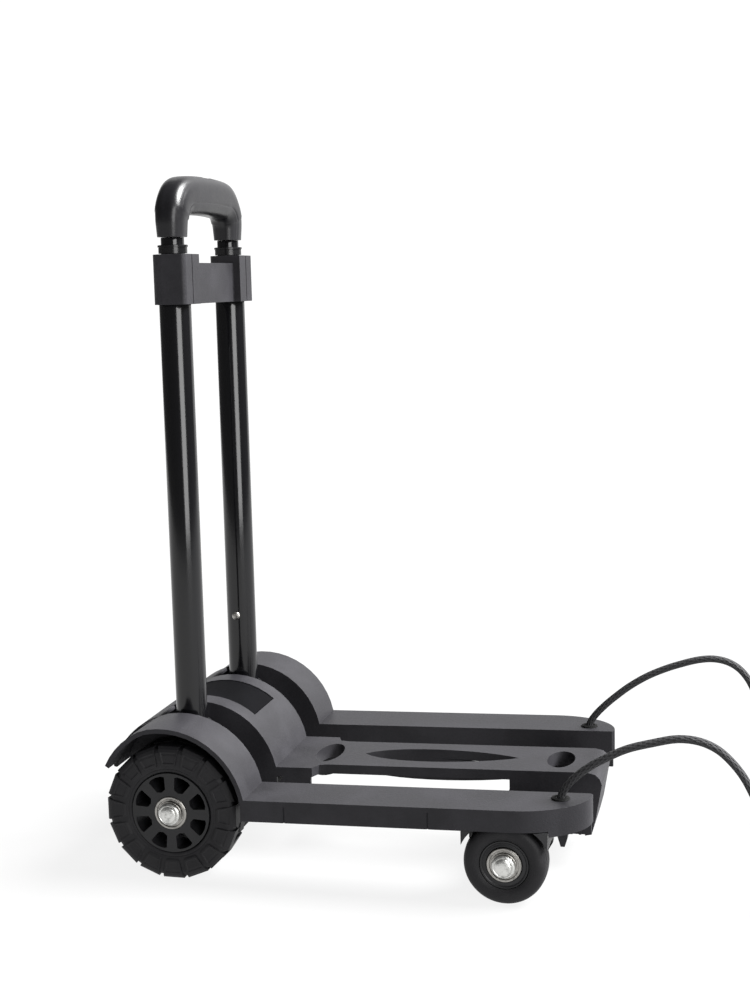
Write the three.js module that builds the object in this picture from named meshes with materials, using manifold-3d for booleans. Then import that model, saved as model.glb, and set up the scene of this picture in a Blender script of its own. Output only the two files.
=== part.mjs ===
// Compact folding luggage trolley: two telescoping posts hinged on the rear axle of a three-tine base.
// Millimetres, +Z up, the tines point along -Y, the floor is z = 0.
import * as THREE from 'three';
import { mergeVertices } from 'three/addons/utils/BufferGeometryUtils.js';
import Module from 'manifold-3d';

const wasm = await Module();
wasm.setup();

// ---- sizes -------------------------------------------------------------------------------
const GAP = 0.3;                 // clearance between touching pieces
const REAR_WHEEL_R = 45;         // over the tread blocks
const REAR_WHEEL_WIDTH = 26;
const REAR_RIM_R = REAR_WHEEL_R * 0.593;
const TREAD_DEPTH = 1.4;
const TREAD_BLOCKS = 16;
const SPOKES = 8;
const AXLE_R = 4;
const BEARING_R = 11;
const BEARING_WIDTH = 7;
const BEARING_SINK = 0.5;        // the bearings sit this far below the face of the rim
const BOLT_R = 7.4;
const BOLT_HEIGHT = 3.6;
const WASHER_R = BOLT_R + 0.8;
const FRONT_WHEEL_R = 26.5;
const FRONT_WHEEL_WIDTH = 22;
const FRONT_HUB_R = BEARING_R + 4.4;
const WHEEL_ROOM = 2.8;          // between a front wheel and its housing
const WHEELBASE = 220.5;

const HALF_WIDTH = 106.4;        // outer face of each side arm
const REAR_OUT = HALF_WIDTH - 6.4;    // outer face of the rear tyre
const FRONT_OUT = HALF_WIDTH - 3.4;   // outer face of the front tyre
const ARM_WIDTH = 38.4;
const ARM_INNER = HALF_WIDTH - ARM_WIDTH;
const ARM_DEPTH = 14;
const ARM_SLOPE = 0.0232;        // the tines rise a little towards the front
const ARM_TOP = REAR_WHEEL_R + 13;    // height of the arm top above the floor at the axle
const ARM_FRONT = WHEELBASE + 51.5;
const NOSE_WIDTH = 36;           // the rounded outer corner of the nose
const NOSE_LENGTH = 46;
const NOSE_SKIRT = 3.6;          // the nose wall reaches this far below the rest of the arm
const KEEL_DROP = 8.5;           // the inner wall of the nose reaches this far below the outer one
const KEEL_LENGTH = 22;
const KEEL_WALL = 3;
const KEEL_RIBS = [7, 12.5];
const SPLIT_LINES = [-80, 47 - WHEELBASE];
const CHEEK = 4;
const FENDER_R = REAR_WHEEL_R + 10;
const FENDER_WALL = 3;
const FENDER_CENTRE = [0.9, REAR_WHEEL_R + 3.7];
const FENDER_ROOT_DEG = 169;     // where the fender runs into the arm, from the rear horizontal
const FENDER_TIP_DEG = 35;
const FORK_PLATE = 5;
const FORK_INNER = FRONT_OUT - FRONT_WHEEL_WIDTH - 4;
const BEAM_TOP = FRONT_WHEEL_R + 6.7;
const BEAM_BOTTOM = FRONT_WHEEL_R - 7;
const REAR_BEAM_TOP = REAR_WHEEL_R - 14;

const POST_R = 10.4;
const TUBE_WALL = 1.1;
const MIDDLE_R = POST_R - TUBE_WALL - GAP;
const INNER_R = MIDDLE_R - TUBE_WALL - GAP;
const FOOT_R = POST_R + 2.4;
const POST_X = ARM_INNER - FOOT_R - 2;
const SOCKET_BOTTOM = REAR_WHEEL_R + 17;
const FOOT_TOP = REAR_WHEEL_R + 49;

const BARREL_HALF = POST_X - FOOT_R - 2.7;
const BARREL_R = FENDER_R - 0.5;
const PANEL_HALF = BARREL_HALF - 16.7;
const PANEL_SINK = 0.6;
const PANEL_WALL = 1.4;
const GUARD_WALL = 3;
const GUARD_TOP_DEG = 71;
const GUARD_REAR_DEG = 16;
const PANEL_FRONT_DEG = 129;
const PANEL_REAR_DEG = 58;
const DECK_HALF = BARREL_HALF - 10.7;
const DECK_WALL = 6.5;
const DECK_SIDE = 4;
const LIP_FRONT = WHEELBASE + 52.5;
const LIP_LEAN = 6;              // the foot of the lip stands this far behind its top
const LIP_BOTTOM = BEAM_BOTTOM + 1.5;
const HINGE_STEP = FENDER_R + 24;     // where the wide root of the deck ends
const SLOT_REAR = HINGE_STEP + 27.5;
const SLOT_LENGTH = WHEELBASE - SLOT_REAR - 6;
const SLOT_WIDTH = DECK_HALF * 1.22;
const OPENING_WALL = 1.8;
const OVAL_DEPTH = 9.5;
const SLOT_DEPTH = 11;
const OVALS = [
  { y: -HINGE_STEP - 2, rx: DECK_HALF * 0.76, ry: 9 },
  { y: -WHEELBASE - 22.5, rx: DECK_HALF * 0.66, ry: 9.3 },
];

const GRIP_TOP = 459;            // height of the folded-down handle
const GRIP_HALF_DEPTH = POST_R + 0.2;
const GRIP_HALF_THICK = POST_R + 2.6;
const GRIP_SQUARE = 3;           // 2 would make the section an ellipse, more makes it squarer
const GRIP_BEND = GRIP_HALF_THICK + 4.5;
const GRIP_ARCH = 2.4;           // the bar's middle stands this far above its shoulders
const BUTTON_HALF = [11.5, 7.5];
const BUTTON_SINK = 11;
const COLLAR_TOP = GRIP_TOP - 52.7;
const COLLAR_BOTTOM = COLLAR_TOP - 32.3;
const COLLAR_HALF = POST_X + FOOT_R + 1;
const COLLAR_INNER = POST_X - FOOT_R - 0.4;
const COLLAR_FRONT = POST_R + 2.6;
const COLLAR_REAR = POST_R + 1;
const BRIDGE_FRONT = COLLAR_FRONT - 5;
const BRIDGE_WALL = 3;
const BRIDGE_TOP = COLLAR_TOP - 5.5;
const CAP_TOP = COLLAR_TOP + 6;
const CAP_HEIGHT = 5.5;
const GRIP_BOTTOM = COLLAR_TOP + 11;
const RIVET_Z = REAR_WHEEL_R + 101;

const CORD_R = 2.5;
const CORD_HOLE_X = HALF_WIDTH - 26.4;
const CORD_HOLE_Y = -WHEELBASE - 32.5;
const KNOT_R = 4.8;
const COIL_R = 27.5;
const COIL_Y = -475;
const COIL_TURNS = 2.5;

// ---- materials ---------------------------------------------------------------------------
const plastic = () => new THREE.MeshStandardMaterial({ color: 0x1d1d20, roughness: 0.55, metalness: 0 });
const paint = () => new THREE.MeshStandardMaterial({ color: 0x101013, roughness: 0.25, metalness: 0.3 });
const rubber = () => new THREE.MeshStandardMaterial({ color: 0x202124, roughness: 0.85, metalness: 0 });
const steel = () => new THREE.MeshStandardMaterial({ color: 0xb9bbc0, roughness: 0.3, metalness: 1 });
const cordMat = () => new THREE.MeshStandardMaterial({ color: 0x141416, roughness: 0.9, metalness: 0 });

const root = new THREE.Group();
root.name = 'folding_luggage_trolley';

function put(name, geometry, material) {
  const mesh = new THREE.Mesh(geometry, material);
  mesh.name = name;
  root.add(mesh);
}

// ---- solid helpers -----------------------------------------------------------------------
function solid(geometry) {
  const bare = geometry.clone();
  bare.deleteAttribute('normal');
  bare.deleteAttribute('uv');
  const merged = mergeVertices(bare, 1e-4);
  const mesh = new wasm.Mesh({
    numProp: 3,
    vertProperties: new Float32Array(merged.attributes.position.array),
    triVerts: new Uint32Array(merged.index.array),
  });
  return new wasm.Manifold(mesh);
}

function geometryOf(manifold) {
  const mesh = manifold.getMesh();
  const geometry = new THREE.BufferGeometry();
  geometry.setAttribute('position', new THREE.BufferAttribute(new Float32Array(mesh.vertProperties), 3));
  geometry.setIndex(new THREE.BufferAttribute(new Uint32Array(mesh.triVerts), 1));
  geometry.computeVertexNormals();
  return geometry;
}

// turns the drawing plane (x, y) with depth z into (y, z) with depth x
const ALONG_X = new THREE.Matrix4().set(0, 0, 1, 0, 1, 0, 0, 0, 0, 1, 0, 0, 0, 0, 0, 1);
// turns a lathe about its own y axis into one about x
const LATHE_X = new THREE.Matrix4().set(0, 1, 0, 0, 0, 0, 1, 0, 1, 0, 0, 0, 0, 0, 0, 1);

function shapeOf(points) {
  return new THREE.Shape(points.map(([a, b]) => new THREE.Vector2(a, b)));
}

function extrudeX(shape, x0, x1, curveSegments = 16) {
  const g = new THREE.ExtrudeGeometry(shape, { depth: x1 - x0, bevelEnabled: false, curveSegments });
  g.applyMatrix4(ALONG_X);
  g.translate(x0, 0, 0);
  return g;
}

function extrudeZ(shape, z0, z1, curveSegments = 16) {
  const g = new THREE.ExtrudeGeometry(shape, { depth: z1 - z0, bevelEnabled: false, curveSegments });
  g.translate(0, 0, z0);
  return g;
}

function latheX(points, segments, y = 0, z = 0) {
  const closed = [...points, points[0]];
  const g = new THREE.LatheGeometry(closed.map(([x, r]) => new THREE.Vector2(r, x)), segments);
  g.applyMatrix4(LATHE_X);
  g.translate(0, y, z);
  return g;
}

function latheZ(points, segments, x = 0, y = 0) {
  const closed = [...points, points[0]];
  const g = new THREE.LatheGeometry(closed.map(([z, r]) => new THREE.Vector2(r, z)), segments);
  g.rotateX(Math.PI / 2);
  g.translate(x, y, 0);
  return g;
}

function rodX(x0, x1, r, y, z, segments = 24) {
  const g = new THREE.CylinderGeometry(r, r, x1 - x0, segments);
  g.rotateZ(Math.PI / 2);
  g.translate((x0 + x1) / 2, y, z);
  return g;
}

function rodZ(z0, z1, r, x, y, segments = 24) {
  const g = new THREE.CylinderGeometry(r, r, z1 - z0, segments);
  g.rotateX(Math.PI / 2);
  g.translate(x, y, (z0 + z1) / 2);
  return g;
}

function box(x0, x1, y0, y1, z0, z1) {
  const g = new THREE.BoxGeometry(x1 - x0, y1 - y0, z1 - z0);
  g.translate((x0 + x1) / 2, (y0 + y1) / 2, (z0 + z1) / 2);
  return g;
}

function mirrorX(geometry) {
  const g = geometry.clone();
  g.scale(-1, 1, 1);
  const index = g.index ? g.index.array : null;
  if (index) {
    for (let i = 0; i < index.length; i += 3) {
      const first = index[i];
      index[i] = index[i + 2];
      index[i + 2] = first;
    }
    return g;
  }
  const position = g.attributes.position;
  const corner = new THREE.Vector3();
  const other = new THREE.Vector3();
  for (let i = 0; i < position.count; i += 3) {
    corner.fromBufferAttribute(position, i);
    other.fromBufferAttribute(position, i + 2);
    position.setXYZ(i, other.x, other.y, other.z);
    position.setXYZ(i + 2, corner.x, corner.y, corner.z);
  }
  return g;
}

// puts the +X piece and its mirror image on the -X side
function pair(name, geometry, material) {
  put('right_' + name, geometry, material());
  put('left_' + name, mirrorX(geometry), material());
}

// ---- base --------------------------------------------------------------------------------
const armTop = (y) => ARM_TOP - ARM_SLOPE * y;

function arcPoints(radius, fromDeg, toDeg, steps, shrink = () => 0) {
  const points = [];
  for (let i = 0; i <= steps; i += 1) {
    const deg = fromDeg + (toDeg - fromDeg) * i / steps;
    const r = radius - shrink(deg);
    const a = deg * Math.PI / 180;
    points.push([FENDER_CENTRE[0] + r * Math.cos(a), FENDER_CENTRE[1] + r * Math.sin(a)]);
  }
  return points;
}

// the rear of the fender draws in towards the tyre
const drawIn = (deg) => (deg < 75 ? (75 - deg) * 0.14 : 0);

function armSide() {
  const root = -FENDER_R + 4.5;
  const skirtRear = -WHEELBASE - 28;
  const skirt = ARM_DEPTH + NOSE_SKIRT;
  return shapeOf([
    [-ARM_FRONT, armTop(-ARM_FRONT) - skirt],
    [-ARM_FRONT, armTop(-ARM_FRONT)],
    ...arcPoints(FENDER_R, FENDER_ROOT_DEG, FENDER_TIP_DEG, 18, drawIn),
    ...arcPoints(FENDER_R - FENDER_WALL, FENDER_TIP_DEG, FENDER_ROOT_DEG + 14, 18, drawIn),
    [root, armTop(root) - ARM_DEPTH],
    [skirtRear + 0.5, armTop(skirtRear) - ARM_DEPTH],
    [skirtRear, armTop(skirtRear) - skirt],
  ].reverse());
}

// the arm seen from above, with its tapered nose
function armPlan() {
  const rear = FENDER_R + 25;
  const plan = new THREE.Shape();
  plan.moveTo(ARM_INNER - 1, rear);
  plan.lineTo(ARM_INNER - 1, 3 - ARM_FRONT);
  plan.lineTo(ARM_INNER + 1.5, -ARM_FRONT);
  plan.lineTo(HALF_WIDTH - NOSE_WIDTH, -ARM_FRONT);
  plan.absellipse(HALF_WIDTH - NOSE_WIDTH, NOSE_LENGTH - ARM_FRONT, NOSE_WIDTH, NOSE_LENGTH,
    -Math.PI / 2, 0, false, 0);
  plan.lineTo(HALF_WIDTH, rear);
  return plan;
}

function sideArm() {
  const high = FENDER_R * 2.2;
  let arm = solid(extrudeX(armSide(), ARM_INNER, HALF_WIDTH));
  arm = arm.intersect(solid(extrudeZ(armPlan(), 0, high, 8)));
  // inner cheek that carries the axle
  const web = arcPoints(FENDER_R - 1, 183, 40, 16);
  const low = REAR_WHEEL_R - 25;
  const cheek = shapeOf([...web, [15, low + 12], [0, low], [-35, low],
    [10 - FENDER_R, REAR_WHEEL_R - 4]].reverse());
  arm = arm.add(solid(extrudeX(cheek, ARM_INNER, ARM_INNER + CHEEK)));
  arm = arm.add(noseKeel().intersect(solid(extrudeZ(armPlan(), 0, high, 8))));
  arm = arm.subtract(solid(rodX(ARM_INNER - 1, ARM_INNER + CHEEK + 1, AXLE_R + GAP, 0, REAR_WHEEL_R)));
  // hole for the cord and room for the knot under it
  const underside = armTop(CORD_HOLE_Y) - ARM_DEPTH;
  arm = arm.subtract(solid(rodZ(underside - 20, high, CORD_R + 0.6, CORD_HOLE_X, CORD_HOLE_Y, 16)));
  arm = arm.subtract(solid(rodZ(underside - 20, underside, KNOT_R + 1.2, CORD_HOLE_X, CORD_HOLE_Y, 16)));
  // well over the front wheel, hidden behind the outer wall
  const well = rodX(FORK_INNER, HALF_WIDTH - 2.2, FRONT_WHEEL_R + WHEEL_ROOM, -WHEELBASE, FRONT_WHEEL_R, 40);
  arm = arm.subtract(solid(well));
  arm = arm.add(solid(extrudeX(parkingHook(), CORD_HOLE_X + 6.5, CORD_HOLE_X + 13)));
  // shadow lines where the outer wall is split
  for (const y of SPLIT_LINES) {
    const line = box(HALF_WIDTH - 0.7, HALF_WIDTH + 1, y - 0.5, y + 0.5, 0, armTop(y) - 3.2);
    arm = arm.subtract(solid(line));
  }
  return geometryOf(arm);
}

// small prong behind the nose that the cord can be parked on
function parkingHook() {
  const y = 13 - ARM_FRONT;
  const top = armTop(y) - ARM_DEPTH + 2;
  return shapeOf([[y, top], [y, top - 6], [y + 0.6, top - 10], [y + 2, top - 14.5], [y + 4.5, top - 14.5],
    [y + 6.5, top - 8], [y + 9.5, top - 5], [y + 9.5, top]]);
}

// inner wall of the nose, which reaches further down than the outer one and has two upright ribs
function noseKeel() {
  const low = armTop(-ARM_FRONT) - ARM_DEPTH - NOSE_SKIRT - KEEL_DROP;
  const front = 1 - ARM_FRONT;
  const high = armTop(front) - 3;
  const wall = solid(box(ARM_INNER + 0.3, ARM_INNER + KEEL_WALL, front, front + KEEL_LENGTH, low, high));
  return KEEL_RIBS.reduce((keel, y) => keel.add(solid(
    box(ARM_INNER + 2, ARM_INNER + KEEL_WALL + 1, front + y - 0.8, front + y + 0.8, low, high))), wall);
}

// housing of a front wheel: an arch over the wheel and a plate that holds the axle
function fork() {
  const rear = 26.5 - WHEELBASE;
  const front = -27.1 - WHEELBASE;
  const rearTop = armTop(rear) - ARM_DEPTH - GAP - 0.2;
  const frontTop = armTop(front) - ARM_DEPTH - GAP - 0.2;
  const low = FRONT_WHEEL_R + 7.5;
  const foot = FRONT_WHEEL_R - 9.5;
  const arch = shapeOf([[rear, rearTop], [front, frontTop], [front, low], [front + 3, low], [rear - 3, low],
    [rear, low + 4]].reverse());
  const room = FRONT_WHEEL_R + WHEEL_ROOM;
  let body = solid(extrudeX(arch, FORK_INNER, HALF_WIDTH - 1.4));
  body = body.subtract(solid(rodX(FORK_INNER, HALF_WIDTH, room, -WHEELBASE, FRONT_WHEEL_R, 40)));
  const plate = shapeOf([[rear, rearTop], [front, frontTop], [front, low], [front + 9.6, foot],
    [rear - 9, foot], [rear, low]].reverse());
  body = body.add(solid(extrudeX(plate, FORK_INNER - FORK_PLATE, FORK_INNER + 0.5)));
  const bore = rodX(FORK_INNER - FORK_PLATE - 1, FORK_INNER + 3, AXLE_R + GAP, -WHEELBASE, FRONT_WHEEL_R);
  body = body.subtract(solid(bore));
  return geometryOf(body.intersect(solid(extrudeZ(armPlan(), 0, rearTop + 10, 8))));
}

// a piece of ring over the top of the barrel
function panelBlock(outerR, innerR, more) {
  const spread = more / FENDER_R * 180 / Math.PI;
  const front = PANEL_FRONT_DEG + spread;
  const rear = PANEL_REAR_DEG - spread;
  const outline = [...arcPoints(outerR, front, rear, 10), ...arcPoints(innerR, rear, front, 10)];
  return extrudeX(shapeOf(outline.reverse()), -PANEL_HALF - more, PANEL_HALF + more);
}

// how far a point on the lip is set back, given its share of the way down
function lean(share) {
  return LIP_LEAN * share;
}

// the top sheet of the barrel, the tine and the front lip, seen from the side
function deckSide() {
  const lipTop = armTop(12 - LIP_FRONT);
  const under = lipTop - DECK_WALL;
  return shapeOf([
    [lean(0.8) + 6.5 - LIP_FRONT, LIP_BOTTOM + 8],
    [lean(1) + 5.2 - LIP_FRONT, LIP_BOTTOM],
    [lean(1) + 0.8 - LIP_FRONT, LIP_BOTTOM + 1],
    [lean(0.7) - LIP_FRONT, LIP_BOTTOM + 11],
    [lean(0.3) - LIP_FRONT, lipTop - 18],
    [-LIP_FRONT, lipTop - 8],
    [1.4 - LIP_FRONT, lipTop - 4],
    [4.4 - LIP_FRONT, lipTop - 1.2],
    [10 - LIP_FRONT, lipTop],
    ...arcPoints(BARREL_R, FENDER_ROOT_DEG, 15, 20),
    ...arcPoints(BARREL_R - 4.5, 15, FENDER_ROOT_DEG + 10, 20),
    [1 - FENDER_R, armTop(1 - FENDER_R) - DECK_WALL],
    [12 - LIP_FRONT, under],
    [7 - LIP_FRONT, under - 5],
    [lean(0.3) + 6.6 - LIP_FRONT, under - 11.6],
  ].reverse());
}

// the deck seen from above: wide root, narrow tine
function deckPlan() {
  const half = [[FENDER_R + 25, BARREL_HALF], [1 - HINGE_STEP, BARREL_HALF - 1.7],
    [-HINGE_STEP - 2, DECK_HALF + 1.5], [-HINGE_STEP - 8, DECK_HALF], [-LIP_FRONT - 5, DECK_HALF]];
  const left = [...half].reverse().map(([y, x]) => [-x, y]);
  return shapeOf([...half.map(([y, x]) => [x, y]), ...left]);
}

// side plate of the barrel and of the root
function rootPlate() {
  const low = REAR_BEAM_TOP + 0.5;
  const end = 2 - HINGE_STEP;
  return shapeOf([...arcPoints(BARREL_R - 0.5, 184, 14, 20), [FENDER_R - 11, low + 4.5], [16, low],
    [11 - FENDER_R, low], [7 - FENDER_R, low + 4.5], [end, low + 8.5], [end, armTop(end) - 2],
    [-FENDER_R - 5, armTop(-FENDER_R - 5) - 2]].reverse());
}

// side wall of the tine, resting on the front cross member
function tineSkirt() {
  const low = BEAM_TOP + 0.4;
  const rear = 8.5 - WHEELBASE;
  const front = 12 - LIP_FRONT;
  return shapeOf([[rear, armTop(rear) - 2], [rear, low + 16.4], [rear + 6, low], [front, low],
    [lean(0.3) + 2 - LIP_FRONT, low + 14.4], [2 - LIP_FRONT, armTop(front) - 8], [front, armTop(front) - 3]]);
}

// the long pointed slot; more widens it all round
function slotOutline(more) {
  const rear = -SLOT_REAR + more * 2;
  const front = -SLOT_REAR - SLOT_LENGTH - more * 2;
  const half = SLOT_WIDTH + more * 2.6;
  const slot = new THREE.Shape();
  slot.moveTo(0, rear);
  slot.bezierCurveTo(-half * 0.62, rear - 18, -half * 0.5, front + 30, 0, front);
  slot.bezierCurveTo(half * 0.5, front + 30, half * 0.62, rear - 18, 0, rear);
  return slot;
}

function ovalOutline({ y, rx, ry }, more) {
  const oval = new THREE.Shape();
  oval.absellipse(0, y, rx + more, ry + more, 0, Math.PI * 2, false, 0);
  return oval;
}

// walls that hang from the edge of an opening under the deck
function openingWall(outline, y, depth) {
  const top = armTop(y) - DECK_WALL + 1;
  return solid(extrudeZ(outline, armTop(y) - depth, top, 12));
}

function deck() {
  let body = solid(extrudeX(deckSide(), -BARREL_HALF, BARREL_HALF));
  const plan = solid(extrudeZ(deckPlan(), 0, FENDER_R * 2.5));
  body = body.intersect(plan);
  for (const side of [-1, 1]) {
    const root = side > 0 ? BARREL_HALF - DECK_SIDE : -BARREL_HALF;
    body = body.add(solid(extrudeX(rootPlate(), root, root + DECK_SIDE)).intersect(plan));
    const tine = side > 0 ? DECK_HALF - DECK_SIDE : -DECK_HALF;
    body = body.add(solid(extrudeX(tineSkirt(), tine, tine + DECK_SIDE)));
  }
  body = body.subtract(solid(rodX(-BARREL_HALF - 1, BARREL_HALF + 1, AXLE_R + GAP, 0, REAR_WHEEL_R)));
  // two cross ovals and the long pointed slot
  const low = ARM_TOP - 20;
  const high = ARM_TOP + 22;
  for (const oval of OVALS) {
    body = body.add(openingWall(ovalOutline(oval, OPENING_WALL), oval.y, OVAL_DEPTH));
    body = body.subtract(solid(extrudeZ(ovalOutline(oval, 0), low, high, 14)));
  }
  body = body.add(openingWall(slotOutline(OPENING_WALL), -SLOT_REAR, SLOT_DEPTH));
  body = body.subtract(solid(extrudeZ(slotOutline(0), low, high, 12)));
  // shallow bed for the panel on top of the barrel
  const bed = panelBlock(FENDER_R + 4, BARREL_R - PANEL_SINK - PANEL_WALL - GAP, GAP);
  return geometryOf(body.subtract(solid(bed)));
}

function barrelPanel() {
  return panelBlock(BARREL_R - PANEL_SINK, BARREL_R - PANEL_SINK - PANEL_WALL, 0);
}

// curved sheet behind each post that closes the gap between the barrel and the fender
function postGuard() {
  const outline = [...arcPoints(BARREL_R, GUARD_TOP_DEG, GUARD_REAR_DEG, 12),
    ...arcPoints(BARREL_R - GUARD_WALL, GUARD_REAR_DEG, GUARD_TOP_DEG, 12)];
  return extrudeX(shapeOf(outline.reverse()), BARREL_HALF + GAP, ARM_INNER - GAP);
}

function rearCrossMember() {
  const half = ARM_INNER - GAP;
  return box(-half, half, -34, -14, REAR_BEAM_TOP - 10, REAR_BEAM_TOP);
}

function frontCrossMember() {
  const half = FORK_INNER - FORK_PLATE - GAP;
  const beam = solid(box(-half, half, -WHEELBASE - 15.5, 14.5 - WHEELBASE, BEAM_BOTTOM, BEAM_TOP));
  const bore = rodX(-half - 1, half + 1, AXLE_R + GAP, -WHEELBASE, FRONT_WHEEL_R);
  return geometryOf(beam.subtract(solid(bore)));
}

// ---- wheels ------------------------------------------------------------------------------
function treadBlock(angle, half) {
  const r = REAR_WHEEL_R - TREAD_DEPTH;
  const corners = [[r - 6, -half * 0.75], [REAR_WHEEL_R, -half], [REAR_WHEEL_R, half], [r - 6, half * 0.75]];
  return shapeOf(corners.map(([radius, t]) => [radius * Math.cos(angle + t), radius * Math.sin(angle + t)]));
}

function rearTyre() {
  const x0 = REAR_OUT - REAR_WHEEL_WIDTH;
  const x1 = REAR_OUT;
  const r = REAR_WHEEL_R - TREAD_DEPTH;
  const inner = REAR_RIM_R + GAP;
  const profile = [[x0 + 2.5, inner], [x1 - 2.5, inner], [x1 - 0.8, inner + 3], [x1 - 0.4, r - 7],
    [x1 - 1.6, r - 2.5], [x1 - 4, r], [x0 + 4, r], [x0 + 1.6, r - 2.5], [x0 + 0.4, r - 7],
    [x0 + 0.8, inner + 3]];
  let body = solid(latheX(profile.reverse(), 40));
  const pitch = Math.PI * 2 / TREAD_BLOCKS;
  const row = REAR_WHEEL_WIDTH * 0.4;
  for (const [a, shift] of [[x1 - row, 0], [x0, 0.5]]) {
    for (let i = 0; i < TREAD_BLOCKS; i += 1) {
      body = body.add(solid(extrudeX(treadBlock((i + shift) * pitch, pitch * 0.33), a, a + row)));
    }
  }
  const g = geometryOf(body);
  g.translate(0, 0, REAR_WHEEL_R);
  return g;
}

// opening between two spokes
function rimWindow(mid) {
  const half = Math.PI / SPOKES;
  const near = BEARING_R + 3.6;
  const far = REAR_RIM_R - 1.5;
  const corners = [[near, 0], [near + 1.4, -half * 0.5], [far - 1, -half * 0.62], [far - 0.2, -half * 0.4],
    [far, 0], [far - 0.2, half * 0.4], [far - 1, half * 0.62], [near + 1.4, half * 0.5]];
  const points = corners.map(([r, t]) => new THREE.Vector2(r * Math.cos(mid + t), r * Math.sin(mid + t)));
  return new THREE.Path(points);
}

function rearRim() {
  const disc = new THREE.Shape();
  disc.absarc(0, 0, REAR_RIM_R, 0, Math.PI * 2, false);
  const bore = new THREE.Path();
  bore.absarc(0, 0, AXLE_R + GAP, 0, Math.PI * 2, true);
  disc.holes.push(bore);
  for (let i = 0; i < SPOKES; i += 1) disc.holes.push(rimWindow((i + 0.5) * Math.PI * 2 / SPOKES));
  const rim = solid(extrudeX(disc, REAR_OUT - REAR_WHEEL_WIDTH + 2, REAR_OUT - 1.2, 20));
  const seat = REAR_OUT - BEARING_WIDTH - BEARING_SINK - GAP;
  const g = geometryOf(rim.subtract(solid(rodX(seat, REAR_OUT + 2, BEARING_R + GAP, 0, 0))));
  g.translate(0, 0, REAR_WHEEL_R);
  return g;
}

function bearing(out, y, z) {
  const a = out - BEARING_WIDTH - BEARING_SINK;
  const b = out - BEARING_SINK;
  return latheX([[a, AXLE_R + GAP], [b, AXLE_R + GAP], [b, BEARING_R], [a, BEARING_R]].reverse(), 28, y, z);
}

function bolt(out, y, z) {
  const a = out + GAP + 0.9;
  const tip = a + BOLT_HEIGHT;
  const profile = [[a, 0], [a, BOLT_R], [a + 1.2, BOLT_R], [a + 2.8, BOLT_R * 0.72],
    [tip, BOLT_R * 0.3], [tip, 0]];
  const g = new THREE.LatheGeometry(profile.map(([x, r]) => new THREE.Vector2(r, x)), 24);
  g.applyMatrix4(LATHE_X);
  g.translate(0, y, z);
  return g;
}

function washer(out, y, z) {
  const a = out - 0.2;
  const bore = AXLE_R + GAP;
  return latheX([[a, WASHER_R], [a + 1, WASHER_R], [a + 1, bore], [a, bore]], 24, y, z);
}

function frontTyre() {
  const x1 = FRONT_OUT;
  const x0 = FRONT_OUT - FRONT_WHEEL_WIDTH;
  const inner = FRONT_HUB_R + GAP;
  const r = FRONT_WHEEL_R;
  const profile = [[x0 + 1.5, inner], [x1 - 1.5, inner], [x1 - 0.3, inner + 2.2], [x1, r - 6],
    [x1 - 1.6, r - 2.4], [x1 - 5, r - 0.4], [x1 - 9, r], [x0 + 9, r], [x0 + 5, r - 0.4],
    [x0 + 1.6, r - 2.4], [x0, r - 6], [x0 + 0.3, inner + 2.2]];
  return latheX(profile.reverse(), 40, -WHEELBASE, FRONT_WHEEL_R);
}

function frontRim() {
  const x1 = FRONT_OUT - 1.2;
  const x0 = FRONT_OUT - FRONT_WHEEL_WIDTH + 1.2;
  const seat = FRONT_OUT - BEARING_WIDTH - BEARING_SINK - GAP;
  const profile = [[x0, AXLE_R + GAP], [seat, AXLE_R + GAP], [seat, BEARING_R + GAP],
    [x1 - 1, BEARING_R + GAP], [x1, BEARING_R + 2.4], [x1, FRONT_HUB_R], [x0, FRONT_HUB_R]];
  return latheX(profile.reverse(), 32, -WHEELBASE, FRONT_WHEEL_R);
}

// ---- handle ------------------------------------------------------------------------------
function tube(radius, z0, z1) {
  const bore = radius - TUBE_WALL;
  return latheZ([[z0, bore], [z0, radius], [z1, radius], [z1, bore]], 24, POST_X, 0);
}

function foot() {
  const x0 = POST_X - FOOT_R;
  const x1 = POST_X + FOOT_R;
  let body = solid(rodX(x0 + 1, x1 - 1, FOOT_R, 0, REAR_WHEEL_R, 32));
  body = body.add(solid(rodZ(REAR_WHEEL_R - 2, FOOT_TOP, FOOT_R, POST_X, 0, 32)));
  body = body.subtract(solid(rodZ(SOCKET_BOTTOM, FOOT_TOP + 1, POST_R + GAP, POST_X, 0)));
  body = body.subtract(solid(rodX(x0 - 1, x1 + 1, AXLE_R + GAP, 0, REAR_WHEEL_R)));
  return geometryOf(body);
}

// sleeve of the collar seen from above, with square front and round rear corners
function sleeveOutline(side) {
  const front = 3;
  const rear = 9;
  const x0 = COLLAR_INNER;
  const x1 = COLLAR_HALF;
  const outline = new THREE.Shape();
  outline.absarc(x1 - front, front - COLLAR_FRONT, front, -Math.PI / 2, 0, false);
  outline.absarc(x1 - rear, COLLAR_REAR - rear, rear, 0, Math.PI / 2, false);
  outline.absarc(x0 + rear, COLLAR_REAR - rear, rear, Math.PI / 2, Math.PI, false);
  outline.lineTo(x0, -COLLAR_FRONT);
  if (side > 0) return outline;
  return new THREE.Shape(outline.getPoints(8).map((p) => new THREE.Vector2(-p.x, p.y)).reverse());
}

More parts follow.
